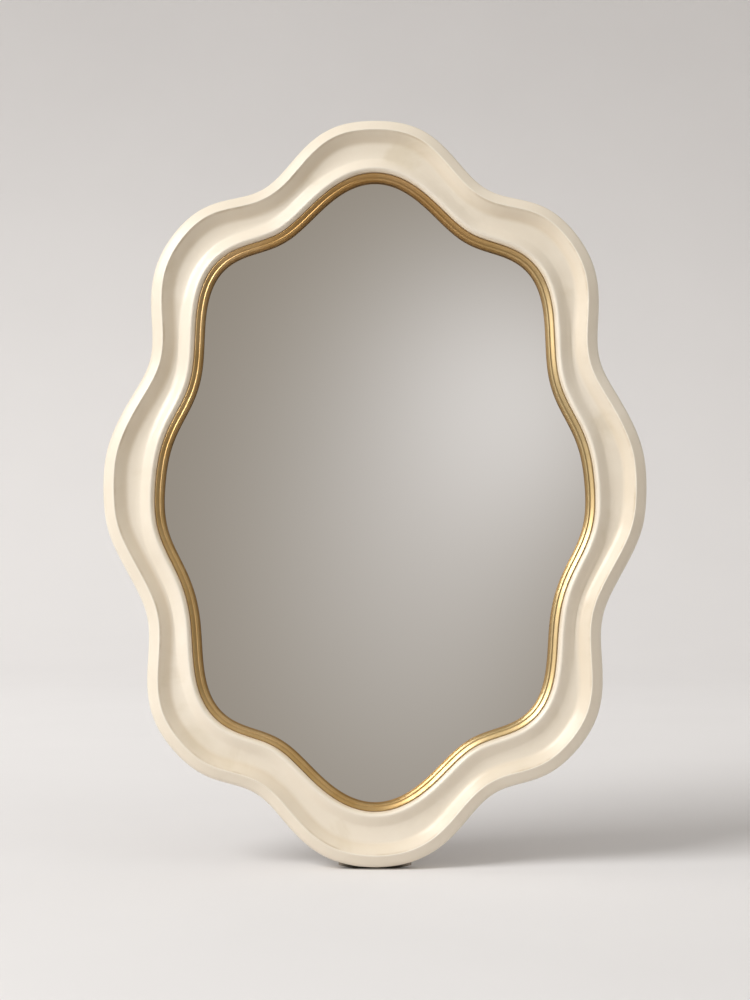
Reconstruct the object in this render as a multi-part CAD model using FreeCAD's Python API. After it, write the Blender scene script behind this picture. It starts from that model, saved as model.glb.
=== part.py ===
import FreeCAD, Part
import math
import os
from FreeCAD import Vector, Rotation, Placement

os.makedirs("parts", exist_ok=True)

# Irregular wavy mirror that stands on a floor or table on its own folding
# easel leg, or hangs on a wall from two keyhole plates. Millimetres.
#
# The mirror is laid out in its own upright frame first: X to the right,
# Y backwards (depth from the frontmost crest of the moulding), Z up. It is then
# leaned back as a whole and dropped onto its pad.

# ---------------------------------------------------------------- outline
CENTRE_Z = 419.0            # height of the outline's centre in the layout
# Radius of each closed outline about the centre, as a cosine series of the
# angle from straight up: r = a0 + a1 cos t + a2 cos 2t + ... (left-right alike)
OUTER_EDGE = (341.35, 0.78, 56.69, -0.36, 7.28, 0.02, -5.13, -0.56, 14.87,
              0.61, 8.10, 0.69, -0.77, 0.16, -0.30, 0.18, -0.98, -0.07, -1.87,
              -0.12, -1.17, -0.08, 0.15, -0.13, 0.11, -0.09, 0.08, -0.06)
SIGHT_EDGE = (272.01, -0.03, 52.68, 0.93, 8.64, -0.77, -4.83, 0.08, 9.04,
              0.07, 8.77, 0.22, 2.05, -0.03, -0.24, 0.21, -0.73)
RAIL_POINTS = 120           # points that each closed rail is passed through
SPANS = 8                   # edges that each closed rail is split into
FIRST_SPLIT = 7             # point at which the first of them starts

# ---------------------------------------------------------------- section
THICK = 34.0                # moulding, front crest to back face
BACK_CHAMFER = 1.5
SIDE_FRONT = 15.0           # depth where the outer slope meets the straight side
TRIM_W = 10.2               # width of the gilt trim round the glass
LEDGE_D = 15.4              # depth of the ledge that the trim sits on
GLASS_FRONT = 16.0
GLASS_T = 4.0
CUSHION_T = 1.2
BOARD_T = 6.0
GLASS_RABBET = 7.0          # rabbet wall, outwards from the sight edge
GLASS_EDGE = 6.0            # glass edge, outwards from the sight edge
BOARD_RABBET = 22.0
BOARD_EDGE = 21.5
BOARD_FRONT = GLASS_FRONT + GLASS_T + CUSHION_T
BOARD_BACK = BOARD_FRONT + BOARD_T

# ---------------------------------------------------------------- stance
LEAN_DEG = 6.0              # the mirror leans back by this
LEG_DEG = 6.0               # the easel leg stands off the vertical by this
OPEN_DEG = LEAN_DEG + LEG_DEG
FLOOR_GAP = 0.6             # lowest point of the moulding above the floor
LOBE_LOW = 1.56             # lowest point of the outline above the layout's zero
Y_SHIFT = -63.934           # puts the middle of the whole depth on Y = 0

# ---------------------------------------------------------------- easel
PIVOT_Z = 440.0
PIVOT_D = 31.2              # depth of the hinge pin's axis
PIN_R = 1.5
LEG_HOLE_R = 1.55
LEG_T = 5.0
LEG_EDGE = 0.7              # chamfer round the leg's faces
LEG_TOP_HALF = 20.0
LEG_FOOT_HALF = 28.0
HEEL = 14.0                 # leg above the pin, which lands on the stop
PLATE_T = 1.2
PLATE_HALF = 36.0
PLATE_LOW = 400.0
PLATE_HIGH = 462.0
LUG_IN = 20.5
LUG_OUT = 27.0
LUG_R = 2.8
STOP_GAP = 0.25
CHANNEL_HALF = 33.0         # channel in the back of the bottom lobe for the leg
CHANNEL_D = 26.0
SHOE_HALF = 30.0
SHOE_T = 7.0
SHOE_H = 16.0

# ---------------------------------------------------------------- standing pad
PAD_HALF = 40.0
PAD_FRONT = 18.5            # depth of the pad's front and back edges
PAD_BACK = 25.5
PAD_TOP = 9.0
PAD_ROUND = 153.0           # radius of the strip's underside, 3 mm outside the lobe

# ---------------------------------------------------------------- hanging plates
HANG_X = 192.0
HANG_Z = 700.0
HANG_W = 18.0
HANG_H = 38.0
HANG_T = 1.5
KEY_R = 5.0
KEY_SLOT_HALF = 2.3
KEY_SLOT_UP = 11.0
BUMPER_R = 6.0
BUMPER_T = 2.0

BOARD_SCREW_ANGLES = (15, 45, 75, 105, 135, 165)
BOARD_SCREW_OFF = 17.0      # outwards from the sight edge


# ================================================================ rails
def series(table, a):
    return sum(c * math.cos(k * a) for k, c in enumerate(table))


def series_d(table, a):
    return sum(-k * c * math.sin(k * a) for k, c in enumerate(table))


def outline(table, off):
    """Radius, at even angles, of the outline moved outwards by off."""
    dense = 1440
    pts = []
    for i in range(dense):
        a = 2 * math.pi * i / dense
        r, d = series(table, a), series_d(table, a)
        x, z = r * math.sin(a), r * math.cos(a)
        tx, tz = d * math.sin(a) + r * math.cos(a), d * math.cos(a) - r * math.sin(a)
        n = math.hypot(tx, tz)
        x, z = x - tz / n * off, z + tx / n * off
        pts.append((math.atan2(x, z) % (2 * math.pi), math.hypot(x, z)))
    pts.sort()
    pts = [(pts[-1][0] - 2 * math.pi, pts[-1][1])] + pts + [(pts[0][0] + 2 * math.pi, pts[0][1])]
    out, j = [], 0
    for i in range(RAIL_POINTS):
        a = 2 * math.pi * i / RAIL_POINTS
        while pts[j + 1][0] < a:
            j += 1
        (a0, r0), (a1, r1) = pts[j], pts[j + 1]
        out.append(r0 + (r1 - r0) * (a - a0) / (a1 - a0))
    return out


_cache = {}


def rail(table, off):
    key = (id(table), off)
    if key not in _cache:
        _cache[key] = outline(table, off)
    return _cache[key]


def outer(off=0.0):
    return rail(OUTER_EDGE, off)


def sight(off=0.0):
    return rail(SIGHT_EDGE, off)


def between(ra, rb, f):
    return [a + (b - a) * f for a, b in zip(ra, rb)]


def spans(radii, depth):
    """Closed rail as SPANS edges end to end, split on the spline's own knots."""
    pts = []
    for i, r in enumerate(radii):
        a = 2 * math.pi * i / RAIL_POINTS
        pts.append(Vector(r * math.sin(a), depth, CENTRE_Z + r * math.cos(a)))
    # start at the first split, so that no span crosses the spline's own start
    pts = pts[FIRST_SPLIT:] + pts[:FIRST_SPLIT]
    c = Part.BSplineCurve()
    c.interpolate(Points=pts, PeriodicFlag=True,
                  Parameters=[i / RAIL_POINTS for i in range(RAIL_POINTS + 1)])
    out = []
    for k in range(SPANS):
        b = c.copy()
        b.segment(k / SPANS, (k + 1) / SPANS)
        out.append(b.toShape())
    return out


def solid_of(faces):
    shell = Part.makeShell(faces)
    shell.sewShape()
    s = Part.makeSolid(shell)
    if s.Volume < 0:
        s.reverse()
    return s


def ring(section):
    """Closed ring solid through a closed section of (radii, depth) rails."""
    rails = [spans(r, d) for r, d in section]
    faces = []
    n = len(section)
    for i in range(n):
        j = (i + 1) % n
        if abs(section[i][1] - section[j][1]) < 1e-9:
            a, b = (i, j) if sum(section[i][0]) > sum(section[j][0]) else (j, i)
            inner = Part.Wire(rails[b])
            inner.reverse()
            faces.append(Part.Face([Part.Wire(rails[a]), inner]))
        else:
            faces += [Part.makeRuledSurface(p, q) for p, q in zip(rails[i], rails[j])]
    return solid_of(faces)


def sheet(radii, d0, d1):
    f = Part.Face(Part.Wire(spans(radii, d0)))
    return f.extrude(Vector(0, d1 - d0, 0))


def band(r_out, r_in, d0, d1):
    return ring([(r_out, d0), (r_out, d1), (r_in, d1), (r_in, d0)])


def box(x0, x1, y0, y1, z0, z1):
    return Part.makeBox(x1 - x0, y1 - y0, z1 - z0, Vector(x0, y0, z0))


def cyl(r, p, axis, length):
    return Part.makeCylinder(r, length, Vector(*p), Vector(*axis))


def spot(table, off, deg):
    """Point on an outline at an angle from straight up."""
    a = math.radians(deg)
    r = rail(table, off)
    t = (a % (2 * math.pi)) / (2 * math.pi) * RAIL_POINTS
    i = int(t) % RAIL_POINTS
    f = t - int(t)
    rr = r[i] + (r[(i + 1) % RAIL_POINTS] - r[i]) * f
    return rr * math.sin(a), CENTRE_Z + rr * math.cos(a)


# ---- the whole mirror leans about X and drops onto the floor
SINL, COSL = math.sin(math.radians(LEAN_DEG)), math.cos(math.radians(LEAN_DEG))
Z_SHIFT = FLOOR_GAP - LOBE_LOW * COSL + CHANNEL_D * SINL


def lean(shape):
    s = shape.copy()
    s.rotate(Vector(0, 0, 0), Vector(1, 0, 0), -LEAN_DEG)
    s.translate(Vector(0, Y_SHIFT, Z_SHIFT))
    return s


def lean_point(x, d, z):
    return (x, z * SINL + d * COSL + Y_SHIFT, z * COSL - d * SINL + Z_SHIFT)


def unlean(shape):
    s = shape.copy()
    s.translate(Vector(0, -Y_SHIFT, -Z_SHIFT))
    s.rotate(Vector(0, 0, 0), Vector(1, 0, 0), LEAN_DEG)
    return s


parts = {}

# ================================================================ moulding
# section from the back of the outer side, up the outer slope to the crisp outer
# ridge, down through the cove, over the inner lip and back through the rabbets
P, Q = outer(-27.5), sight(27.0)
section = [
    (outer(-BACK_CHAMFER), THICK),
    (outer(0), THICK - BACK_CHAMFER),
    (outer(0), SIDE_FRONT),
    (outer(-0.4), 10.8),
    (outer(-1.3), 7.9),
    (outer(-2.9), 5.8),
    (outer(-5.6), 4.0),
    (outer(-8.7), 2.2),
    (outer(-11.4), 0.6),
    (outer(-12.8), 0.0),
    (outer(-13.7), 0.6),
    (outer(-16.0), 2.5),
    (outer(-19.0), 4.9),
    (outer(-22.2), 7.4),
    (outer(-24.8), 9.0),
    (P, 9.9),
    (between(P, Q, 0.35), 10.1),
    (between(P, Q, 0.70), 9.9),
    (Q, 9.2),
    (sight(24.0), 7.7),
    (sight(21.0), 5.8),
    (sight(18.0), 3.9),
    (sight(16.2), 3.0),
    (sight(15.0), 2.7),
    (sight(13.8), 3.0),
    (sight(12.1), 4.1),
    (sight(TRIM_W), 5.6),
    (sight(TRIM_W), LEDGE_D),
    (sight(GLASS_RABBET), LEDGE_D),
    (sight(GLASS_RABBET), BOARD_FRONT),
    (sight(BOARD_RABBET), BOARD_FRONT),
    (sight(BOARD_RABBET), THICK),
]
moulding = ring(section)

# channel for the folded leg through the back of the bottom lobe
moulding_cuts = [box(-CHANNEL_HALF, CHANNEL_HALF, CHANNEL_D, THICK + 5, -10, 58)]

# standing pad under the bottom lobe: a strip that follows the lobe, level where
# it stands
p0 = lean_point(0, PAD_FRONT, 0)
p1 = lean_point(0, PAD_BACK, 0)
pad = box(-PAD_HALF, PAD_HALF, p0[1], p1[1], 0, PAD_TOP)
pad = pad.makeFillet(3.0, [e for e in pad.Edges if abs(e.tangentAt(e.FirstParameter).z) > 0.99])
pad = pad.common(lean(cyl(PAD_ROUND, (0, PAD_FRONT - 4, LOBE_LOW - 3.0 + PAD_ROUND), (0, 1, 0), 16)))
pad = pad.cut(lean(moulding))

# ================================================================ keyhole plates
plate_screws = []
for side, name in ((-1, "keyhole_plate_left"), (1, "keyhole_plate_right")):
    cx = side * HANG_X
    zc = HANG_Z
    key_z = zc - 5.0
    pl = box(cx - HANG_W / 2, cx + HANG_W / 2, THICK - HANG_T, THICK, zc - HANG_H / 2, zc + HANG_H / 2)
    vert = [e for e in pl.Edges if abs(e.tangentAt(e.FirstParameter).y) > 0.99]
    pl = pl.makeFillet(4.0, vert)
    recess = pl.copy()
    keyhole = cyl(KEY_R, (cx, THICK - HANG_T - 1, key_z), (0, 1, 0), HANG_T + 2)
    slot = box(cx - KEY_SLOT_HALF, cx + KEY_SLOT_HALF, THICK - HANG_T - 1, THICK + 1, key_z, key_z + KEY_SLOT_UP)
    slot = slot.fuse(cyl(KEY_SLOT_HALF, (cx, THICK - HANG_T - 1, key_z + KEY_SLOT_UP), (0, 1, 0), HANG_T + 2))
    pl = pl.cut(keyhole.fuse(slot))
    pocket = cyl(KEY_R + 0.8, (cx, THICK - 11, key_z), (0, 1, 0), 12)
    pocket = pocket.fuse(cyl(KEY_R + 0.8, (cx, THICK - 11, key_z + KEY_SLOT_UP), (0, 1, 0), 12))
    pocket = pocket.fuse(box(cx - KEY_R - 0.8, cx + KEY_R + 0.8, THICK - 11, THICK + 1, key_z, key_z + KEY_SLOT_UP))
    holes = None
    for dz in (-HANG_H / 2 + 4.2, HANG_H / 2 - 3.4):
        z = zc + dz
        sc = Part.makeCone(1.4, 2.8, 1.4, Vector(cx, THICK - 1.4, z), Vector(0, 1, 0))
        sc = sc.fuse(cyl(1.4, (cx, THICK - 14, z), (0, 1, 0), 12.6))
        cross = box(cx - 1.7, cx + 1.7, THICK - 0.7, THICK + 1, z - 0.3, z + 0.3).fuse(
            box(cx - 0.3, cx + 0.3, THICK - 0.7, THICK + 1, z - 1.7, z + 1.7))
        holes = sc if holes is None else holes.fuse(sc)
        plate_screws.append(lean(sc.cut(cross)))
    pl = pl.cut(holes)
    moulding_cuts += [recess.fuse(pocket), holes]
    parts[name] = lean(pl)
parts["keyhole_plate_screws"] = Part.makeCompound(plate_screws)

# ================================================================ back board and its screws
board = sheet(sight(BOARD_EDGE), BOARD_FRONT, BOARD_BACK)
board_screws = []
board_cuts = []
for deg in BOARD_SCREW_ANGLES:
    for sgn in (1, -1):
        x, z = spot(SIGHT_EDGE, BOARD_SCREW_OFF, sgn * deg)
        sc = Part.makeCone(1.6, 3.4, 2.0, Vector(x, BOARD_BACK - 2.0, z), Vector(0, 1, 0))
        sc = sc.fuse(cyl(1.6, (x, BOARD_BACK - 15.0, z), (0, 1, 0), 13.0))
        sc = sc.fuse(Part.makeCone(0.4, 1.6, 2.0, Vector(x, BOARD_BACK - 17.0, z), Vector(0, 1, 0)))
        moulding_cuts.append(sc)
        board_cuts.append(sc)
        cross = box(x - 2.1, x + 2.1, BOARD_BACK - 0.9, BOARD_BACK + 1, z - 0.35, z + 0.35).fuse(
            box(x - 0.35, x + 0.35, BOARD_BACK - 0.9, BOARD_BACK + 1, z - 2.1, z + 2.1))
        board_screws.append(lean(sc.cut(cross)))
parts["back_board_screws"] = Part.makeCompound(board_screws)

# ================================================================ gilt trim
TRIM_O = TRIM_W - 0.1
trim = ring([
    (sight(TRIM_O), LEDGE_D),
    (sight(TRIM_O), 8.0),
    (sight(9.9), 7.0),
    (sight(9.5), 6.0),
    (sight(9.0), 5.5),
    (sight(8.4), 5.5),
    (sight(7.9), 5.8),
    (sight(7.3), 6.2),
    (sight(6.6), 6.6),
    (sight(5.9), 7.0),
    (sight(5.2), 7.4),
    (sight(4.6), 7.5),
    (sight(4.0), 7.2),
    (sight(3.4), 7.1),
    (sight(2.8), 7.4),
    (sight(2.3), 8.1),
    (sight(1.8), 8.9),
    (sight(1.3), 9.6),
    (sight(0.7), 10.3),
    (sight(0.0), 11.2),
    (sight(0.0), LEDGE_D),
])

# ================================================================ glass and what holds it
tape = band(sight(6.0), sight(1.0), LEDGE_D, GLASS_FRONT)
glass = sheet(sight(GLASS_EDGE), GLASS_FRONT, GLASS_FRONT + GLASS_T)
cushion = sheet(sight(GLASS_EDGE), GLASS_FRONT + GLASS_T, BOARD_FRONT)
gap_ring = band(sight(GLASS_RABBET), sight(GLASS_EDGE), GLASS_FRONT, GLASS_FRONT + GLASS_T)
blocks = []
for sgn in (-1, 1):
    b = box(min(sgn * 20, sgn * 44), max(sgn * 20, sgn * 44), 10, 30, 40, 110)
    blocks.append(lean(gap_ring.common(b)))

# ================================================================ easel hinge
plate = box(-PLATE_HALF, PLATE_HALF, BOARD_BACK, BOARD_BACK + PLATE_T, PLATE_LOW, PLATE_HIGH)
plate = plate.makeFillet(6.0, [e for e in plate.Edges if abs(e.tangentAt(e.FirstParameter).y) > 0.99])
for sgn in (-1, 1):
    x0, x1 = min(sgn * LUG_IN, sgn * LUG_OUT), max(sgn * LUG_IN, sgn * LUG_OUT)
    lug = box(x0, x1, BOARD_BACK + PLATE_T - 0.01, PIVOT_D, PIVOT_Z - LUG_R, PIVOT_Z + LUG_R)
    lug = lug.fuse(cyl(LUG_R, (x0, PIVOT_D, PIVOT_Z), (1, 0, 0), x1 - x0))
    plate = plate.fuse(lug)
plate = plate.removeSplitter()
pin_hole = cyl(PIN_R, (-LUG_OUT - 2, PIVOT_D, PIVOT_Z), (1, 0, 0), 2 * LUG_OUT + 4)
plate = plate.cut(pin_hole)
hinge_screws = []
for x in (-31.0, 31.0):
    for z in (PLATE_LOW + 8, PLATE_HIGH - 8):
        sc = cyl(1.75, (x, BOARD_BACK - 5.0, z), (0, 1, 0), 5.0 + PLATE_T)
        plate = plate.cut(sc)
        board_cuts.append(sc)
        head = cyl(3.3, (x, BOARD_BACK + PLATE_T, z), (0, 1, 0), 1.9)
        head = head.makeFillet(0.9, [e for e in head.Edges
                                     if abs(e.CenterOfMass.y - (BOARD_BACK + PLATE_T + 1.9)) < 1e-6])
        cross = box(x - 1.9, x + 1.9, BOARD_BACK + PLATE_T + 1.0, BOARD_BACK + 6, z - 0.35, z + 0.35).fuse(
            box(x - 0.35, x + 0.35, BOARD_BACK + PLATE_T + 1.0, BOARD_BACK + 6, z - 1.9, z + 1.9))
        hinge_screws.append(lean(sc.fuse(head).removeSplitter().cut(cross)))
board = board.cut(board_cuts)
moulding = moulding.cut(moulding_cuts)
pin = cyl(PIN_R, (-LUG_OUT, PIVOT_D, PIVOT_Z), (1, 0, 0), 2 * LUG_OUT)
pin = pin.fuse(cyl(2.3, (-LUG_OUT - 1.0, PIVOT_D, PIVOT_Z), (1, 0, 0), 1.0))
pin = pin.fuse(cyl(2.3, (LUG_OUT, PIVOT_D, PIVOT_Z), (1, 0, 0), 1.0))
pin = pin.removeSplitter()

# ---- leg, drawn folded flat against the back, then swung out to its stop
t2 = LEG_T / 2
poly = [(-LEG_TOP_HALF + 7, PIVOT_Z + HEEL), (LEG_TOP_HALF - 7, PIVOT_Z + HEEL),
        (LEG_TOP_HALF, PIVOT_Z + HEEL - 7), (LEG_TOP_HALF, PIVOT_Z - 30),
        (LEG_FOOT_HALF, 40), (LEG_FOOT_HALF, -20), (-LEG_FOOT_HALF, -20),
        (-LEG_FOOT_HALF, 40), (-LEG_TOP_HALF, PIVOT_Z - 30), (-LEG_TOP_HALF, PIVOT_Z + HEEL - 7)]
wire = Part.makePolygon([Vector(x, PIVOT_D - t2, z) for x, z in poly + poly[:1]])
leg = Part.Face(wire).extrude(Vector(0, LEG_T, 0))
# long slot down the middle of the leg
slot_cut = box(-7, 7, PIVOT_D - t2 - 1, PIVOT_D + t2 + 1, 90, PIVOT_Z - 70)
slot_cut = slot_cut.fuse(cyl(7, (0, PIVOT_D - t2 - 1, 90), (0, 1, 0), LEG_T + 2))
slot_cut = slot_cut.fuse(cyl(7, (0, PIVOT_D - t2 - 1, PIVOT_Z - 70), (0, 1, 0), LEG_T + 2))
leg = leg.cut(slot_cut)
leg = leg.makeChamfer(LEG_EDGE, [e for e in leg.Edges
                                 if abs(abs(e.CenterOfMass.y - PIVOT_D) - t2) < 1e-6])
leg = leg.cut(cyl(LEG_HOLE_R, (-40, PIVOT_D, PIVOT_Z), (1, 0, 0), 80))
shoe = box(-SHOE_HALF, SHOE_HALF, PIVOT_D - SHOE_T / 2, PIVOT_D + SHOE_T / 2, -20, SHOE_H)
shoe = shoe.makeFillet(2.0, [e for e in shoe.Edges if abs(e.tangentAt(e.FirstParameter).z) > 0.99])
shoe = shoe.makeFillet(1.0, [e for e in shoe.Edges if abs(e.CenterOfMass.z - SHOE_H) < 1e-6])
pivot = Vector(0, PIVOT_D, PIVOT_Z)
for s in (leg, shoe):
    s.rotate(pivot, Vector(1, 0, 0), OPEN_DEG)
stop_face = BOARD_BACK + PLATE_T + STOP_GAP
leg = leg.cut(box(-60, 60, 0, stop_face, PIVOT_Z - 3, PIVOT_Z + 40))
leg = lean(leg).cut(box(-100, 100, -400, 400, -60, 2.5))
shoe = lean(shoe).cut(box(-100, 100, -400, 400, -60, 0.0))
shoe = shoe.cut(leg)

# ================================================================ bumpers
bumpers = []
for deg, off in ((146, 44), (22, 41)):
    for sgn in (1, -1):
        x, z = spot(SIGHT_EDGE, off, sgn * deg)
        b = cyl(BUMPER_R, (x, THICK, z), (0, 1, 0), BUMPER_T)
        b = b.makeFillet(0.8, [e for e in b.Edges if abs(e.CenterOfMass.y - THICK - BUMPER_T) < 1e-6])
        bumpers.append(lean(b))

parts["frame_moulding"] = lean(moulding)
parts["gilt_sight_trim"] = lean(trim)
parts["glazing_tape"] = lean(tape)
parts["mirror_glass"] = lean(glass)
parts["glass_setting_blocks"] = Part.makeCompound(blocks)
parts["cushion_sheet"] = lean(cushion)
parts["back_board"] = lean(board)
parts["wall_bumpers"] = Part.makeCompound(bumpers)
parts["standing_pad"] = pad
parts["easel_hinge_plate"] = lean(plate)
parts["easel_hinge_pin"] = lean(pin)
parts["easel_hinge_screws"] = Part.makeCompound(hinge_screws)
parts["easel_leg"] = leg
parts["leg_rubber_shoe"] = shoe

lo = [1e9] * 3
hi = [-1e9] * 3
for name, shape in sorted(parts.items()):
    bb = shape.BoundBox
    lo = [min(lo[0], bb.XMin), min(lo[1], bb.YMin), min(lo[2], bb.ZMin)]
    hi = [max(hi[0], bb.XMax), max(hi[1], bb.YMax), max(hi[2], bb.ZMax)]
    print("%-22s solids %d valid %s closed %s vol %.0f  y %.2f..%.2f z %.2f..%.2f" % (
        name, len(shape.Solids), shape.isValid(), all(s.isClosed() for s in shape.Solids), shape.Volume,
        bb.YMin, bb.YMax, bb.ZMin, bb.ZMax))
    shape.exportStep("parts/%s.step" % name)
print("bbox", [round(v, 3) for v in lo], [round(v, 3) for v in hi])
print("y middle", (lo[1] + hi[1]) / 2)
print("pivot", lean_point(0, PIVOT_D, PIVOT_Z))
print("axis back", (0, COSL, -SINL))
for s in (-1, 1):
    print("keyhole", lean_point(s * HANG_X, THICK - HANG_T / 2, HANG_Z - 5.0))
print("back land", lean_point(0, THICK, CENTRE_Z + rail(SIGHT_EDGE, 40.0)[0]))
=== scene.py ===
import math

import bmesh
import bpy
import numpy as np
from mathutils import Matrix, Vector


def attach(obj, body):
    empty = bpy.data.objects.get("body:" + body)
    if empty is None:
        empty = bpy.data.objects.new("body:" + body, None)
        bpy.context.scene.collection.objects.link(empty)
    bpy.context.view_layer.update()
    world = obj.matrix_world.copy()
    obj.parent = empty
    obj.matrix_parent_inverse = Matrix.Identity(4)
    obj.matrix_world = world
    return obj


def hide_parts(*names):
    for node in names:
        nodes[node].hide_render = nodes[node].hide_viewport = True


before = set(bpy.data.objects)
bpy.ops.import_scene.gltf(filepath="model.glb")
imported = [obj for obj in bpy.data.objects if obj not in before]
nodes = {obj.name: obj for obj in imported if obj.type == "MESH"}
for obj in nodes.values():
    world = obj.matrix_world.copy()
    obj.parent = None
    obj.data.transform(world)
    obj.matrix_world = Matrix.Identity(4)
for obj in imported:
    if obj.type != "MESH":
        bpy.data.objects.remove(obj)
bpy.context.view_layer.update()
ROOT, LEG = "mirror", "easel_leg"

# ------------------------------------------------------------------ layout, mm
CENTRE_Z = 419.0
OUTER_EDGE = (341.35, 0.78, 56.69, -0.36, 7.28, 0.02, -5.13, -0.56, 14.87,
              0.61, 8.10, 0.69, -0.77, 0.16, -0.30, 0.18, -0.98, -0.07, -1.87,
              -0.12, -1.17, -0.08, 0.15, -0.13, 0.11, -0.09, 0.08, -0.06)
SIGHT_EDGE = (272.01, -0.03, 52.68, 0.93, 8.64, -0.77, -4.83, 0.08, 9.04,
              0.07, 8.77, 0.22, 2.05, -0.03, -0.24, 0.21, -0.73)
THICK, LEDGE_D, GLASS_FRONT, BOARD_FRONT = 34.0, 15.4, 16.0, 21.2
TRIM_W, GLASS_RABBET, BOARD_RABBET = 10.2, 7.0, 22.0
CHANNEL_HALF, CHANNEL_D = 33.0, 26.0
HANG_X, HANG_Z, HANG_W, HANG_H, HANG_T = 192.0, 700.0, 18.0, 38.0, 1.5
LEAN = math.radians(6.0)
SINL, COSL = math.sin(LEAN), math.cos(LEAN)
Y_SHIFT = -63.934
Z_SHIFT = 0.6 - 1.56 * COSL + CHANNEL_D * SINL


def place(x, d, z):
    """Upright layout (right, depth, up) in mm to the leaning frame in metres."""
    x, d, z = np.asarray(x, float), np.asarray(d, float), np.asarray(z, float)
    return np.stack([x, z * SINL + d * COSL + Y_SHIFT, z * COSL - d * SINL + Z_SHIFT], -1) / 1000.0


# ------------------------------------------------------------------ rails
AROUND = 1080
ANG = np.arange(AROUND) * 2 * np.pi / AROUND


def rail(table, off):
    """Radius, at even angles, of an outline moved outwards by off."""
    a = np.arange(4320) * 2 * np.pi / 4320
    r = sum(c * np.cos(k * a) for k, c in enumerate(table))
    d = sum(-k * c * np.sin(k * a) for k, c in enumerate(table))
    x, z = r * np.sin(a), r * np.cos(a)
    tx, tz = d * np.sin(a) + r * np.cos(a), d * np.cos(a) - r * np.sin(a)
    n = np.hypot(tx, tz)
    x, z = x - tz / n * off, z + tx / n * off
    b, q = np.arctan2(x, z) % (2 * np.pi), np.hypot(x, z)
    o = np.argsort(b)
    return np.interp(ANG, b[o], q[o], period=2 * np.pi)


_rails = {}


def outer(off=0.0):
    return _rails.setdefault(("o", off), rail(OUTER_EDGE, off))


def sight(off=0.0):
    return _rails.setdefault(("s", off), rail(SIGHT_EDGE, off))


def smooth_section(section, steps, corners, tension=0.5):
    """Closed section of (radii, depth) rails, rounded through its points with
    Catmull-Rom spans; spans that touch a corner stay straight at that end."""
    R = np.stack([r for r, _ in section], 0)                      # K x AROUND
    D = np.array([d for _, d in section], float)
    K = len(section)
    out_r, out_d, tag = [], [], []
    for i in range(K):
        j = (i + 1) % K
        p, q = (i - 1) % K, (j + 1) % K
        n = steps[i] if isinstance(steps, (list, tuple)) else steps
        if i in corners and j in corners:
            n = max(1, n if n < 0 else 1) if n > 0 else -n
        r0, r1, r2, r3 = R[p], R[i], R[j], R[q]
        d0, d1, d2, d3 = D[p], D[i], D[j], D[q]
        if i in corners:
            r0, d0 = 2 * r1 - r2, 2 * d1 - d2
        if j in corners:
            r3, d3 = 2 * r2 - r1, 2 * d2 - d1
        # centripetal parametrisation on the mean section keeps it free of overshoot
        L = [max(1e-6, math.hypot(float(np.mean(b - a)), e - c)) ** 0.5
             for a, b, c, e in ((r0, r1, d0, d1), (r1, r2, d1, d2), (r2, r3, d2, d3))]
        t0, t1 = 0.0, L[0]
        t2 = t1 + L[1]
        t3 = t2 + L[2]
        for s in range(n):
            t = t1 + (t2 - t1) * s / n

            def cr(a, b, c, d):
                A1 = (t1 - t) / (t1 - t0) * a + (t - t0) / (t1 - t0) * b
                A2 = (t2 - t) / (t2 - t1) * b + (t - t1) / (t2 - t1) * c
                A3 = (t3 - t) / (t3 - t2) * c + (t - t2) / (t3 - t2) * d
                B1 = (t2 - t) / (t2 - t0) * A1 + (t - t0) / (t2 - t0) * A2
                B2 = (t3 - t) / (t3 - t1) * A2 + (t - t1) / (t3 - t1) * A3
                return (t2 - t) / (t2 - t1) * B1 + (t - t1) / (t2 - t1) * B2
            out_r.append(cr(r0, r1, r2, r3))
            out_d.append(cr(d0, d1, d2, d3))
            tag.append(i + s / n)
    return np.stack(out_r, 0), np.array(out_d), np.array(tag)


def ring_mesh(name, R, D, bump=None):
    """Closed ring mesh from M section points x AROUND stations."""
    M = len(D)
    depth = np.repeat(D[:, None], AROUND, 1)
    if bump is not None:
        R, depth = bump(R, depth)
    x = R * np.sin(ANG)[None]
    z = CENTRE_Z + R * np.cos(ANG)[None]
    co = place(x, depth, z).reshape(-1, 3)
    i = np.arange(M)[:, None]
    j = np.arange(AROUND)[None]
    a = i * AROUND + j
    b = i * AROUND + (j + 1) % AROUND
    c = ((i + 1) % M) * AROUND + (j + 1) % AROUND
    d = ((i + 1) % M) * AROUND + j
    faces = np.stack([a, b, c, d], -1).reshape(-1, 4)
    me = bpy.data.meshes.new(name)
    me.from_pydata(co.tolist(), [], faces.tolist())
    me.update()
    ob = bpy.data.objects.new(name, me)
    bpy.context.scene.collection.objects.link(ob)
    bm = bmesh.new()
    bm.from_mesh(me)
    bmesh.ops.recalc_face_normals(bm, faces=bm.faces)
    bm.to_mesh(me)
    bm.free()
    return ob


def point_attr(ob, name, values):
    at = ob.data.attributes.new(name, "FLOAT", "POINT")
    at.data.foreach_set("value", np.asarray(values, np.float32))


# ------------------------------------------------------------------ node helpers
def material(name):
    m = bpy.data.materials.new(name)
    m.use_nodes = True
    nt = m.node_tree
    nt.nodes.clear()
    out = nt.nodes.new("ShaderNodeOutputMaterial")
    bsdf = nt.nodes.new("ShaderNodeBsdfPrincipled")
    nt.links.new(bsdf.outputs[0], out.inputs[0])
    return m, nt, bsdf


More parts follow.
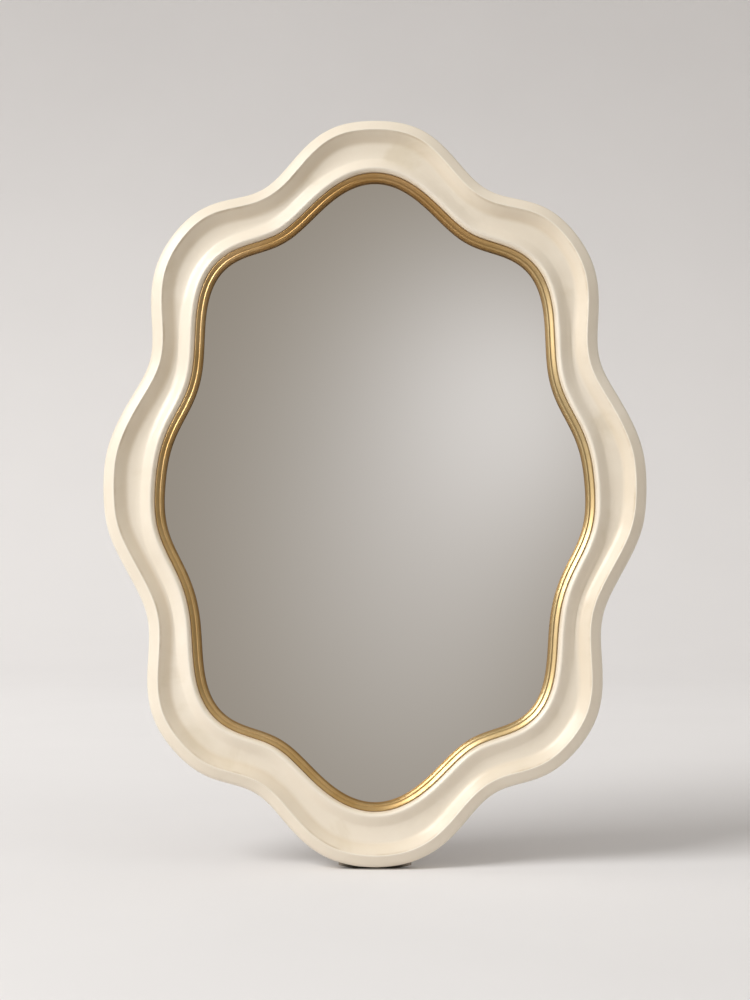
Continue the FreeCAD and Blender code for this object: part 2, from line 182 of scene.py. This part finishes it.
class G:
    """Short-hand for a material's node tree."""

    def __init__(self, nt):
        self.nt = nt

    def new(self, kind, **kw):
        n = self.nt.nodes.new(kind)
        for k, v in kw.items():
            setattr(n, k, v)
        return n

    def link(self, a, b):
        self.nt.links.new(a, b)

    def coords(self):
        return self.new("ShaderNodeTexCoord").outputs["Object"]

    def mapped(self, scale=(1, 1, 1), rot=(0, 0, 0)):
        m = self.new("ShaderNodeMapping")
        m.inputs["Scale"].default_value = scale
        m.inputs["Rotation"].default_value = rot
        self.link(self.coords(), m.inputs[0])
        return m.outputs[0]

    def noise(self, vec, scale, detail=3.0, rough=0.5, dist=0.0):
        n = self.new("ShaderNodeTexNoise")
        n.inputs["Scale"].default_value = scale
        n.inputs["Detail"].default_value = detail
        n.inputs["Roughness"].default_value = rough
        n.inputs["Distortion"].default_value = dist
        self.link(vec, n.inputs["Vector"])
        return n.outputs["Fac"]

    def ramp(self, fac, stops, interp="LINEAR"):
        n = self.new("ShaderNodeValToRGB")
        cr = n.color_ramp
        cr.interpolation = interp
        while len(cr.elements) > 1:
            cr.elements.remove(cr.elements[-1])
        cr.elements[0].position = stops[0][0]
        cr.elements[0].color = (*stops[0][1], 1.0)
        for p, c in stops[1:]:
            e = cr.elements.new(p)
            e.color = (*c, 1.0)
        self.link(fac, n.inputs[0])
        return n.outputs[0]

    def math(self, op, a, b=None, c=None, clamp=False):
        n = self.new("ShaderNodeMath", operation=op, use_clamp=clamp)
        for i, v in enumerate((a, b, c)):
            if v is None:
                continue
            if isinstance(v, (int, float)):
                n.inputs[i].default_value = v
            else:
                self.link(v, n.inputs[i])
        return n.outputs[0]

    def remap(self, v, a, b, c, d):
        n = self.new("ShaderNodeMapRange")
        self.link(v, n.inputs["Value"])
        n.inputs["From Min"].default_value = a
        n.inputs["From Max"].default_value = b
        n.inputs["To Min"].default_value = c
        n.inputs["To Max"].default_value = d
        return n.outputs[0]

    def smooth(self, v, a, b, c, d):
        n = self.new("ShaderNodeMapRange", interpolation_type="SMOOTHSTEP")
        self.link(v, n.inputs["Value"])
        n.inputs["From Min"].default_value = a
        n.inputs["From Max"].default_value = b
        n.inputs["To Min"].default_value = c
        n.inputs["To Max"].default_value = d
        return n.outputs[0]

    def mix(self, fac, a, b, blend="MIX"):
        n = self.new("ShaderNodeMix", data_type="RGBA", blend_type=blend)
        ins = [s for s in n.inputs if s.enabled]
        f = n.inputs["Factor"]
        ca, cb = [s for s in n.inputs if s.type == "RGBA"][:2]
        for s, v in ((f, fac), (ca, a), (cb, b)):
            if isinstance(v, (int, float)):
                s.default_value = v
            elif isinstance(v, tuple):
                s.default_value = (*v, 1.0) if len(v) == 3 else v
            else:
                self.link(v, s)
        return [o for o in n.outputs if o.type == "RGBA"][0]

    def bump(self, height, strength, distance, normal=None):
        n = self.new("ShaderNodeBump")
        n.inputs["Strength"].default_value = strength
        n.inputs["Distance"].default_value = distance
        self.link(height, n.inputs["Height"])
        if normal is not None:
            self.link(normal, n.inputs["Normal"])
        return n.outputs[0]

    def attr(self, name):
        return self.new("ShaderNodeAttribute", attribute_name=name).outputs["Fac"]


def lin(r, g, b):
    """sRGB 0-255 to linear."""
    f = lambda v: ((v / 255 + 0.055) / 1.055) ** 2.4 if v > 10.3 else v / 255 / 12.92
    return (f(r), f(g), f(b))


# ------------------------------------------------------------------ materials
def mat_lacquer():
    m, nt, b = material("ivory_lacquer")
    g = G(nt)
    p = g.mapped()
    cloud = g.noise(p, 5.0, 3.0, 0.55)
    fine = g.noise(p, 42.0, 4.0, 0.6)
    grain = g.noise(g.mapped((1, 1, 1)), 260.0, 2.0, 0.5)
    base = g.ramp(cloud, [(0.30, lin(234, 223, 205)), (0.52, lin(239, 229, 212)), (0.72, lin(242, 233, 218))])
    base = g.mix(g.remap(fine, 0.35, 0.75, 0.0, 0.16), base, lin(219, 203, 181))
    # toning glaze plus painted shade: darker, yellower colour down the wall below the ridge, on the outer slope and at
    # the lip's foot, where shade falls; none on the crests
    toning_and_shade = g.attr("toning_and_shade")
    patch = g.noise(p, 8.0, 3.0, 0.6, 0.4)
    base = g.mix(g.math("MULTIPLY", toning_and_shade, g.remap(patch, 0.3, 0.7, 0.24, 0.46)), base, lin(208, 183, 142))
    smudge = g.math("MULTIPLY", g.attr("cove"), g.smooth(g.noise(p, 11.0, 4.0, 0.62, 0.8), 0.50, 0.70, 0.0, 0.34))
    base = g.mix(smudge, base, lin(206, 190, 158))
    seam = g.math("MULTIPLY", g.attr("seam"), g.smooth(g.noise(p, 30.0, 4.0, 0.6), 0.40, 0.68, 0.10, 0.55))
    base = g.mix(seam, base, lin(184, 160, 122))
    rub = g.attr("rub")
    base = g.mix(g.math("MULTIPLY", rub, g.remap(fine, 0.3, 0.7, 0.10, 0.45)), base, lin(246, 240, 229))
    g.link(base, b.inputs["Base Color"])
    g.link(g.math("ADD", g.remap(cloud, 0.3, 0.7, 0.33, 0.40), g.remap(fine, 0.3, 0.7, -0.03, 0.03)), b.inputs["Roughness"])
    b.inputs["IOR"].default_value = 1.47
    b.inputs["Coat Weight"].default_value = 0.22
    b.inputs["Coat Roughness"].default_value = 0.16
    b.inputs["Subsurface Weight"].default_value = 0.0
    h = g.math("ADD", g.math("MULTIPLY", fine, 0.6), g.math("MULTIPLY", grain, 0.25))
    n1 = g.bump(g.noise(p, 16.0, 2.0, 0.5), 0.25, 0.0012)
    g.link(g.bump(h, 0.14, 0.0004, n1), b.inputs["Normal"])
    return m


def mat_gilt():
    m, nt, b = material("gilt")
    g = G(nt)
    p = g.mapped()
    cloud = g.noise(p, 14.0, 3.0, 0.6)
    fine = g.noise(p, 150.0, 4.0, 0.6)
    base = g.ramp(cloud, [(0.30, lin(195, 160, 102)), (0.5, lin(209, 176, 122)), (0.72, lin(223, 194, 146))])
    base = g.mix(g.remap(fine, 0.40, 0.75, 0.0, 0.22), base, lin(186, 142, 80))
    place = g.new("ShaderNodeSeparateXYZ")
    g.link(g.coords(), place.inputs["Vector"])
    uneven = g.remap(cloud, 0.3, 0.7, -0.02, 0.02)
    # painted shade: the gilt is darker and browner near the top of the frame, where the trim faces down away from the
    # key light
    top_shade = g.smooth(g.math("ADD", place.outputs["Z"], uneven), 0.62, 0.74, 0.0, 1.0)
    # painted highlight: the gilt on the right side is paler, standing in for its reflection of the key light
    right_highlight = g.smooth(g.math("ADD", place.outputs["X"], uneven), 0.02, 0.15, 0.0, 0.55)
    right_highlight = g.math("MULTIPLY", right_highlight, g.math("SUBTRACT", 1.0, top_shade))
    base = g.mix(right_highlight, base, lin(216, 197, 152))
    base = g.mix(g.math("MULTIPLY", top_shade, 0.50), base, lin(160, 114, 54))
    # dark toning plus painted shade in the trim's recessed lines and on its two sides
    groove_toning_and_shade = g.attr("toning_and_shade")
    base = g.mix(g.math("MULTIPLY", groove_toning_and_shade, 0.75), base, lin(126, 90, 44))
    g.link(base, b.inputs["Base Color"])
    b.inputs["Metallic"].default_value = 1.0
    r = g.math("ADD", g.remap(fine, 0.3, 0.7, 0.32, 0.42), g.math("MULTIPLY", groove_toning_and_shade, 0.2))
    g.link(r, b.inputs["Roughness"])
    h = g.math("ADD", fine, g.math("MULTIPLY", g.noise(p, 420.0, 2.0, 0.5), 0.4))
    n1 = g.bump(g.noise(p, 38.0, 2.0, 0.5), 0.30, 0.0008)
    g.link(g.bump(h, 0.20, 0.0003, n1), b.inputs["Normal"])
    return m


def mat_mirror():
    m, nt, b = material("silvered_glass")
    g = G(nt)
    p = g.mapped()
    haze = g.noise(p, 3.0, 3.0, 0.5)
    g.link(g.ramp(haze, [(0.3, (0.865, 0.875, 0.868)), (0.7, (0.88, 0.888, 0.882))]), b.inputs["Base Color"])
    b.inputs["Metallic"].default_value = 1.0
    g.link(g.remap(g.noise(p, 9.0, 4.0, 0.6), 0.3, 0.75, 0.008, 0.02), b.inputs["Roughness"])
    return m


def mat_board():
    m, nt, b = material("backing_paper")
    g = G(nt)
    p = g.mapped()
    cloud = g.noise(p, 7.0, 4.0, 0.6)
    fibre = g.noise(g.mapped((1.0, 1.0, 0.18)), 190.0, 5.0, 0.7)
    base = g.ramp(cloud, [(0.3, lin(118, 94, 66)), (0.55, lin(131, 106, 76)), (0.75, lin(140, 116, 86))])
    base = g.mix(g.remap(fibre, 0.40, 0.70, 0.0, 0.45), base, lin(98, 76, 52))
    base = g.mix(g.remap(g.noise(p, 620.0, 1.0, 0.5), 0.62, 0.75, 0.0, 0.4), base, lin(172, 148, 112))
    g.link(base, b.inputs["Base Color"])
    g.link(g.remap(fibre, 0.3, 0.7, 0.72, 0.86), b.inputs["Roughness"])
    g.link(g.bump(fibre, 0.25, 0.0004), b.inputs["Normal"])
    return m


def mat_metal(name, colour, dark, rough, scale=240.0, metallic=1.0, bump=0.15, speck=0.0):
    m, nt, b = material(name)
    g = G(nt)
    p = g.mapped()
    brush = g.noise(g.mapped((1.0, 1.0, 0.08)), scale, 3.0, 0.6)
    cloud = g.noise(p, 22.0, 3.0, 0.5)
    base = g.mix(g.remap(cloud, 0.3, 0.7, 0.0, 0.6), colour, dark)
    base = g.mix(g.remap(brush, 0.35, 0.7, 0.0, 0.35), base, dark)
    g.link(base, b.inputs["Base Color"])
    b.inputs["Metallic"].default_value = metallic
    g.link(g.remap(brush, 0.3, 0.7, rough - 0.06, rough + 0.08), b.inputs["Roughness"])
    g.link(g.bump(brush, bump, 0.0002), b.inputs["Normal"])
    return m


def mat_powder(name="black_powder_coat"):
    m, nt, b = material(name)
    g = G(nt)
    p = g.mapped()
    tex = g.noise(p, 900.0, 2.0, 0.6)
    cloud = g.noise(p, 18.0, 3.0, 0.5)
    g.link(g.ramp(cloud, [(0.3, lin(33, 32, 31)), (0.7, lin(44, 42, 40))]), b.inputs["Base Color"])
    g.link(g.remap(tex, 0.3, 0.7, 0.38, 0.55), b.inputs["Roughness"])
    g.link(g.bump(tex, 0.45, 0.0003), b.inputs["Normal"])
    return m


def mat_rubber():
    m, nt, b = material("dark_rubber")
    g = G(nt)
    p = g.mapped()
    tex = g.noise(p, 380.0, 3.0, 0.6)
    g.link(g.ramp(g.noise(p, 40.0, 3.0, 0.6), [(0.3, lin(42, 37, 31)), (0.7, lin(55, 49, 42))]), b.inputs["Base Color"])
    g.link(g.remap(tex, 0.3, 0.7, 0.62, 0.78), b.inputs["Roughness"])
    g.link(g.bump(tex, 0.3, 0.0003), b.inputs["Normal"])
    return m


def mat_pad():
    """Same rubber, painted paler towards both tips of the strip, standing in for the contact shade fading out into the
    lit floor.
    """
    m, nt, b = material("pad_rubber_lit_tips")
    g = G(nt)
    p = g.mapped()
    tex = g.noise(p, 380.0, 3.0, 0.6)
    sep = g.new("ShaderNodeSeparateXYZ")
    g.link(g.coords(), sep.inputs["Vector"])
    side = g.new("ShaderNodeMath")
    side.operation = "ABSOLUTE"
    g.link(sep.outputs["X"], side.inputs[0])
    edge = g.new("ShaderNodeMath")
    edge.operation = "ADD"
    g.link(side.outputs[0], edge.inputs[0])
    g.link(g.remap(g.noise(p, 60.0, 3.0, 0.6), 0.3, 0.7, -0.003, 0.003), edge.inputs[1])
    # painted light: dark in the middle, as in shade, pale at both tips, as if lit
    lit_tips = g.remap(edge.outputs[0], 0.020, 0.041, 0.0, 1.0)
    g.link(g.ramp(lit_tips, [(0.0, lin(44, 39, 33)), (0.45, lin(70, 63, 54)), (1.0, lin(158, 150, 138))]), b.inputs["Base Color"])
    g.link(g.remap(tex, 0.3, 0.7, 0.62, 0.78), b.inputs["Roughness"])
    g.link(g.bump(tex, 0.3, 0.0003), b.inputs["Normal"])
    return m


def mat_felt():
    m, nt, b = material("wool_felt")
    g = G(nt)
    p = g.mapped()
    fib = g.noise(p, 700.0, 5.0, 0.75, 0.6)
    g.link(g.ramp(fib, [(0.3, lin(92, 86, 80)), (0.7, lin(132, 124, 116))]), b.inputs["Base Color"])
    b.inputs["Roughness"].default_value = 0.95
    b.inputs["Sheen Weight"].default_value = 0.4
    g.link(g.bump(fib, 0.7, 0.0006), b.inputs["Normal"])
    return m


def mat_foam():
    m, nt, b = material("white_foam")
    g = G(nt)
    v = g.new("ShaderNodeTexVoronoi")
    v.inputs["Scale"].default_value = 420.0
    g.link(g.coords(), v.inputs["Vector"])
    g.link(g.ramp(v.outputs["Distance"], [(0.0, lin(214, 213, 208)), (0.8, lin(238, 238, 234))]), b.inputs["Base Color"])
    b.inputs["Roughness"].default_value = 0.8
    g.link(g.bump(v.outputs["Distance"], 0.3, 0.0003), b.inputs["Normal"])
    return m


LACQUER, GILT, MIRROR = mat_lacquer(), mat_gilt(), mat_mirror()
BOARD, POWDER, RUBBER, FELT, FOAM = mat_board(), mat_powder(), mat_rubber(), mat_felt(), mat_foam()
PAD = mat_pad()
ZINC = mat_metal("bright_zinc", lin(196, 196, 192), lin(150, 150, 148), 0.34)


def dress(name, mat, smooth=30.0):
    ob = nodes[name]
    for s in ob.material_slots:
        s.material = mat
    if not ob.material_slots:
        ob.data.materials.append(mat)
    return ob


# ------------------------------------------------------------------ moulding
P, Q = outer(-27.5), sight(27.0)
section = [
    (outer(-1.5), THICK),            # 0
    (outer(0), THICK - 1.5),         # 1
    (outer(0), 15.0),                # 2
    (outer(-0.4), 10.8),
    (outer(-1.3), 7.9),
    (outer(-2.9), 5.8),
    (outer(-5.6), 4.0),
    (outer(-8.7), 2.2),
    (outer(-11.4), 0.6),
    (outer(-12.8), 0.0),             # 9, outer ridge
    (outer(-13.7), 0.6),
    (outer(-16.0), 2.5),
    (outer(-19.0), 4.9),
    (outer(-22.2), 7.4),
    (outer(-24.8), 9.0),
    (P, 9.9),                        # 15
    (P + (Q - P) * 0.35, 10.1),
    (P + (Q - P) * 0.70, 9.9),
    (Q, 9.2),                        # 18
    (sight(24.0), 7.7),
    (sight(21.0), 5.8),
    (sight(18.0), 3.9),
    (sight(16.2), 3.0),
    (sight(15.0), 2.7),              # 23, inner lip
    (sight(13.8), 3.0),
    (sight(12.1), 4.1),
    (sight(TRIM_W), 5.6),            # 26
    (sight(TRIM_W), LEDGE_D),        # 27
    (sight(GLASS_RABBET), LEDGE_D),
    (sight(GLASS_RABBET), BOARD_FRONT),
    (sight(BOARD_RABBET), BOARD_FRONT),
    (sight(BOARD_RABBET), THICK),    # 31
]
corners = {0, 1, 27, 28, 29, 30, 31}
steps = [1] + [6] + [5] * 25 + [1] * 5
R, D, tag = smooth_section(section, steps, corners)
D = np.clip(D, 0.0, THICK)


def hand_finish(R, depth):
    """Slow hollows of a few hundredths of a millimetre left by hand sanding."""
    t = ANG[None]
    wave = 0.10 * np.sin(9 * t + 0.7) + 0.07 * np.sin(23 * t + 2.1) + 0.05 * np.sin(41 * t + 4.0)
    live = np.clip((15.0 - D) / 6.0, 0, 1)[:, None]
    return R, depth + np.abs(wave) * live


moulding = ring_mesh("ivory_moulding", R, D, hand_finish)
M = len(D)
# tone maps: toning glaze plus painted shade at the foot of the wall and of the lip, wear on the two crests, cove
# smudges and fine toning lines
toning_and_shade = np.zeros(M)
rub = np.zeros(M)
cove = np.zeros(M)
seam = np.zeros(M)
for k in range(M):
    t = tag[k]
    wall = min(1.0, max(0.0, (t - 9.8) / 0.8)) * min(1.0, max(0.0, (15.4 - t) / 1.6))
    # painted shade with toning glaze, strongest down the wall and at the lip's foot
    toning_and_shade[k] = wall * (0.55 + 0.25 * min(1.0, max(0.0, (t - 11.0) / 3.0))) + math.exp(-((t - 26.0) / 1.1) ** 2)
    toning_and_shade[k] += 0.20 * min(1.0, max(0.0, (t - 2.0) / 1.0)) * min(1.0, max(0.0, (8.6 - t) / 0.8))
    rub[k] = math.exp(-((t - 9.0) / 0.5) ** 2) + math.exp(-((t - 23.0) / 0.8) ** 2) * 0.8
    cove[k] = min(1.0, max(0.0, (t - 10.0) / 1.5)) * min(1.0, max(0.0, (21.0 - t) / 3.0))
    seam[k] = math.exp(-((t - 10.1) / 0.5) ** 2) + math.exp(-((t - 2.6) / 0.5) ** 2) * 0.7 + math.exp(-((t - 25.6) / 0.7) ** 2) * 0.8
point_attr(moulding, "toning_and_shade", np.repeat(np.clip(toning_and_shade, 0, 1), AROUND))
point_attr(moulding, "rub", np.repeat(np.clip(rub, 0, 1), AROUND))
point_attr(moulding, "cove", np.repeat(np.clip(cove, 0, 1), AROUND))
point_attr(moulding, "seam", np.repeat(np.clip(seam, 0, 1), AROUND))


def cutter(name, pts, faces):
    me = bpy.data.meshes.new(name)
    me.from_pydata([tuple(p) for p in pts], [], faces)
    me.update()
    ob = bpy.data.objects.new(name, me)
    bpy.context.scene.collection.objects.link(ob)
    bm = bmesh.new()
    bm.from_mesh(me)
    bmesh.ops.recalc_face_normals(bm, faces=bm.faces)
    bm.to_mesh(me)
    bm.free()
    return ob


def prism(name, loop, d0, d1):
    """Cutter with an (x, z) loop between two depths."""
    n = len(loop)
    x = [p[0] for p in loop]
    z = [p[1] for p in loop]
    pts = np.concatenate([place(x, [d0] * n, z), place(x, [d1] * n, z)])
    faces = [list(range(n)), list(range(2 * n - 1, n - 1, -1))]
    faces += [[i, (i + 1) % n, n + (i + 1) % n, n + i] for i in range(n)]
    return cutter(name, pts, faces)


def obround(cx, z0, z1, r, n=14):
    top = [(cx + r * math.cos(a), z1 + r * math.sin(a)) for a in np.linspace(0, math.pi, n)]
    low = [(cx + r * math.cos(a), z0 + r * math.sin(a)) for a in np.linspace(math.pi, 2 * math.pi, n)]
    return top + low


def rounded(cx, cz, w, h, r, n=6):
    out = []
    for sx, sz, a0 in ((1, 1, 0), (-1, 1, 90), (-1, -1, 180), (1, -1, 270)):
        for k in range(n + 1):
            a = math.radians(a0 + 90 * k / n)
            out.append((cx + sx * (w / 2 - r) + r * math.cos(a), cz + sz * (h / 2 - r) + r * math.sin(a)))
    return out


cutters = [prism("cut_channel", [(-CHANNEL_HALF, -10), (CHANNEL_HALF, -10), (CHANNEL_HALF, 58), (-CHANNEL_HALF, 58)],
                 CHANNEL_D, THICK + 5)]
for s in (-1, 1):
    cutters.append(prism("cut_plate%d" % s, rounded(s * HANG_X, HANG_Z, HANG_W, HANG_H, 4.0), THICK - HANG_T, THICK + 1))
    cutters.append(prism("cut_pocket%d" % s, obround(s * HANG_X, HANG_Z - 5, HANG_Z + 6, 5.8), THICK - 11, THICK + 2))
for c in cutters:
    md = moulding.modifiers.new(c.name, "BOOLEAN")
    md.operation = "DIFFERENCE"
    md.solver = "EXACT"
    md.object = c
bpy.context.view_layer.update()
done = bpy.data.meshes.new_from_object(moulding.evaluated_get(bpy.context.evaluated_depsgraph_get()))
moulding.modifiers.clear()
moulding.data = done
for c in cutters:
    bpy.data.objects.remove(c, do_unlink=True)
moulding.data.materials.clear()
moulding.data.materials.append(LACQUER)
moulding.data.shade_smooth()
moulding.data.set_sharp_from_angle(angle=math.radians(38))
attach(moulding, ROOT)
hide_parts("frame_moulding")

# ------------------------------------------------------------------ gilt trim
trim_section = [
    (sight(10.1), LEDGE_D),
    (sight(10.1), 8.0),
    (sight(9.9), 7.0),
    (sight(9.5), 6.0),
    (sight(9.0), 5.5),
    (sight(8.4), 5.5),
    (sight(7.9), 5.8),
    (sight(7.3), 6.2),
    (sight(6.6), 6.6),
    (sight(5.9), 7.0),
    (sight(5.2), 7.4),
    (sight(4.6), 7.5),
    (sight(4.0), 7.2),
    (sight(3.4), 7.1),
    (sight(2.8), 7.4),
    (sight(2.3), 8.1),
    (sight(1.8), 8.9),
    (sight(1.3), 9.6),
    (sight(0.7), 10.3),
    (sight(0.0), 11.2),
    (sight(0.0), LEDGE_D),
]
R2, D2, tag2 = smooth_section(trim_section, [3] + [4] * 18 + [3] + [1], {0, 20})
trim = ring_mesh("gilt_trim", R2, D2)
# dark toning plus painted shade: strongest in the recessed lines and on both sides of the trim
groove_toning_and_shade = np.array([max(math.exp(-((t - 9.4) / 2.0) ** 2) * 0.22, math.exp(-((t - 17.6) / 1.8) ** 2) * 0.9,
                       math.exp(-((t - 1.4) / 1.0) ** 2),
                       1.0 if t > 18.6 or t < 0.9 else 0.0) for t in tag2])
point_attr(trim, "toning_and_shade", np.repeat(groove_toning_and_shade, AROUND))
trim.data.materials.append(GILT)
trim.data.shade_smooth()
trim.data.set_sharp_from_angle(angle=math.radians(50))
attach(trim, ROOT)
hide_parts("gilt_sight_trim")

# ------------------------------------------------------------------ the CAD pieces that stay
dress("mirror_glass", MIRROR)
dress("glazing_tape", RUBBER)
dress("glass_setting_blocks", RUBBER)
dress("cushion_sheet", FOAM)
dress("back_board", BOARD)
dress("back_board_screws", ZINC)
dress("keyhole_plate_left", ZINC)
dress("keyhole_plate_right", ZINC)
dress("keyhole_plate_screws", ZINC)
dress("wall_bumpers", FELT)
dress("standing_pad", PAD)
dress("easel_hinge_plate", POWDER)
dress("easel_hinge_pin", ZINC)
dress("easel_hinge_screws", ZINC)
dress("easel_leg", POWDER)
dress("leg_rubber_shoe", RUBBER)

# ------------------------------------------------------------------ stage
def stage_sheet():
    """Pale sweep: floor that curves up into a far back wall."""
    prof = [(-7.0, 0.0), (2.6, 0.0)]
    prof += [(2.6 + 2.0 * math.sin(a), 2.0 - 2.0 * math.cos(a)) for a in np.linspace(0.1, math.pi / 2, 14)]
    prof += [(4.6, 6.0)]
    xs = [-8.0, 8.0]
    verts = [(x, y, z) for y, z in prof for x in xs]
    faces = [[2 * i, 2 * i + 1, 2 * i + 3, 2 * i + 2] for i in range(len(prof) - 1)]
    me = bpy.data.meshes.new("studio_sweep")
    me.from_pydata(verts, [], faces)
    me.update()
    me.shade_smooth()
    ob = bpy.data.objects.new("studio_sweep", me)
    bpy.context.scene.collection.objects.link(ob)
    m, nt, b = material("sweep_paper")
    g = G(nt)
    n = g.noise(g.mapped(), 3.0, 2.0, 0.5)
    sep = g.new("ShaderNodeSeparateXYZ")
    g.link(g.coords(), sep.inputs[0])
    paper = g.ramp(n, [(0.3, lin(225, 223, 223)), (0.7, lin(227, 225, 225))])
    # in front of the set the floor is a darker studio floor
    g.link(g.mix(g.smooth(sep.outputs[1], -1.75, -0.95, 1.0, 0.0), paper, lin(122, 119, 116)), b.inputs["Base Color"])
    # the far part of the sweep glows with painted light, standing in for backdrop lighting, strongest low down and to
    # the left
    far = g.smooth(sep.outputs[1], -0.8, 2.2, 0.0, 1.0)
    up = g.smooth(sep.outputs[2], 0.05, 2.25, 1.0, 0.0)
    across = g.smooth(sep.outputs[0], -1.4, 1.4, 1.0, 0.75)
    g.link(g.math("MULTIPLY", g.math("MULTIPLY", far, up), g.math("MULTIPLY", across, 0.22)), b.inputs["Emission Strength"])
    b.inputs["Emission Color"].default_value = (1.0, 0.975, 0.96, 1.0)
    b.inputs["Roughness"].default_value = 0.9
    b.inputs["Specular IOR Level"].default_value = 0.1
    me.materials.append(m)
    return ob


sweep = stage_sheet()

# ------------------------------------------------------------------ world: soft studio surround
world = bpy.data.worlds.new("studio")
bpy.context.scene.world = world
world.use_nodes = True
wt = world.node_tree
wt.nodes.clear()
W = G(wt)
wout = W.new("ShaderNodeOutputWorld")
bg = W.new("ShaderNodeBackground")
W.link(bg.outputs[0], wout.inputs[0])
dirn = W.new("ShaderNodeTexCoord").outputs["Generated"]


def lobe(x, y, z, inner, outer_):
    """1 at a direction, falling smoothly to 0 between two angles in degrees."""
    v = Vector((x, y, z)).normalized()
    d = W.new("ShaderNodeVectorMath", operation="DOT_PRODUCT")
    n = W.new("ShaderNodeVectorMath", operation="NORMALIZE")
    W.link(dirn, n.inputs[0])
    W.link(n.outputs[0], d.inputs[0])
    d.inputs[1].default_value = v
    a = W.math("ARCCOSINE", W.math("MINIMUM", d.outputs["Value"], 0.99999))
    r = W.new("ShaderNodeMapRange", interpolation_type="SMOOTHERSTEP")
    W.link(a, r.inputs["Value"])
    r.inputs["From Min"].default_value = math.radians(inner)
    r.inputs["From Max"].default_value = math.radians(outer_)
    r.inputs["To Min"].default_value = 1.0
    r.inputs["To Max"].default_value = 0.0
    return r.outputs[0]


def axis_of(i):
    sep = W.new("ShaderNodeSeparateXYZ")
    n = W.new("ShaderNodeVectorMath", operation="NORMALIZE")
    W.link(dirn, n.inputs[0])
    W.link(n.outputs[0], sep.inputs[0])
    return sep.outputs[i]


WX, WY, WZ = axis_of(0), axis_of(1), axis_of(2)
AZ = W.math("MULTIPLY", W.math("ARCTAN2", WX, W.math("MULTIPLY", WY, -1.0)), 180.0 / math.pi)
EL = W.math("MULTIPLY", W.math("ARCSINE", WZ), 180.0 / math.pi)


def soft_spot(az, el, half_az, half_el):
    """Gaussian patch of light on the surround, in degrees."""
    a = W.math("DIVIDE", W.math("SUBTRACT", AZ, az), half_az)
    e = W.math("DIVIDE", W.math("SUBTRACT", EL, el), half_el)
    q = W.math("ADD", W.math("MULTIPLY", a, a), W.math("MULTIPLY", e, e))
    return W.math("EXPONENT", W.math("MULTIPLY", q, -1.0))


# the room in front, dim, with one broad soft patch and one smaller brighter one
patch = W.math("ADD", W.math("MULTIPLY", soft_spot(4.15, 14.45, 3.7, 3.75), 0.28),
               W.math("MULTIPLY", soft_spot(1.6, 10.85, 5.1, 7.85), 0.278))
lvl = W.math("MULTIPLY", W.math("ADD", W.math("ADD", patch, 0.175),
                                W.math("MULTIPLY", W.math("MAXIMUM", W.math("MINIMUM", AZ, 9.0), -9.0), -0.0084)),
             1.0 / 0.875)
room = W.new("ShaderNodeCombineXYZ")
W.link(W.math("ADD", lvl, 0.042), room.inputs[0])
W.link(lvl, room.inputs[1])
W.link(W.math("SUBTRACT", W.math("MULTIPLY", lvl, 1.045), 0.060), room.inputs[2])
front = lobe(0.0, -1.0, 0.21, 12.0, 48.0)
left = lobe(-1.0, -0.5, 0.5, 10.0, 80.0)
right = lobe(1.0, -0.2, 0.4, 10.0, 90.0)
amb = W.mix(left, (0.48, 0.468, 0.45), (0.37, 0.36, 0.345))
amb = W.mix(right, amb, (0.78, 0.76, 0.72))
flag = lobe(0.75, -0.63, 0.21, 4.0, 34.0)
amb = W.mix(flag, amb, (0.18, 0.175, 0.17))
card = lobe(-0.80, -0.56, 0.21, 5.0, 24.0)
amb = W.mix(card, amb, (1.20, 1.17, 1.14))
col = W.mix(front, amb, room.outputs[0])
W.link(col, bg.inputs["Color"])
bg.inputs["Strength"].default_value = 1.0


def area(name, loc, target, size, energy, colour):
    d = bpy.data.lights.new(name, "AREA")
    d.shape = "RECTANGLE"
    d.size, d.size_y = size
    d.energy = energy
    d.color = colour
    o = bpy.data.objects.new(name, d)
    o.location = loc
    o.rotation_mode = "QUATERNION"
    o.rotation_quaternion = (Vector(target) - Vector(loc)).to_track_quat("-Z", "Y")
    bpy.context.scene.collection.objects.link(o)
    return o


area("key", (-3.0, -2.3, 3.3), (0, 0, 0.35), (2.8, 2.0), 190.0, (0.992, 0.990, 0.980))

# ------------------------------------------------------------------ camera
cam_d = bpy.data.cameras.new("camera")
cam_d.sensor_width = 36.0
cam_d.lens = 2382.5 * 36.0 / 1000.0
cam_d.shift_y = -0.0121
cam_d.clip_end = 60.0
cam = bpy.data.objects.new("camera", cam_d)
cam.location = (0.0, -2.664, 0.4182)
cam.rotation_euler = (math.radians(90.0), 0.0, 0.0)
bpy.context.scene.collection.objects.link(cam)
bpy.context.scene.camera = cam
bpy.context.scene.view_settings.view_transform = "Standard"
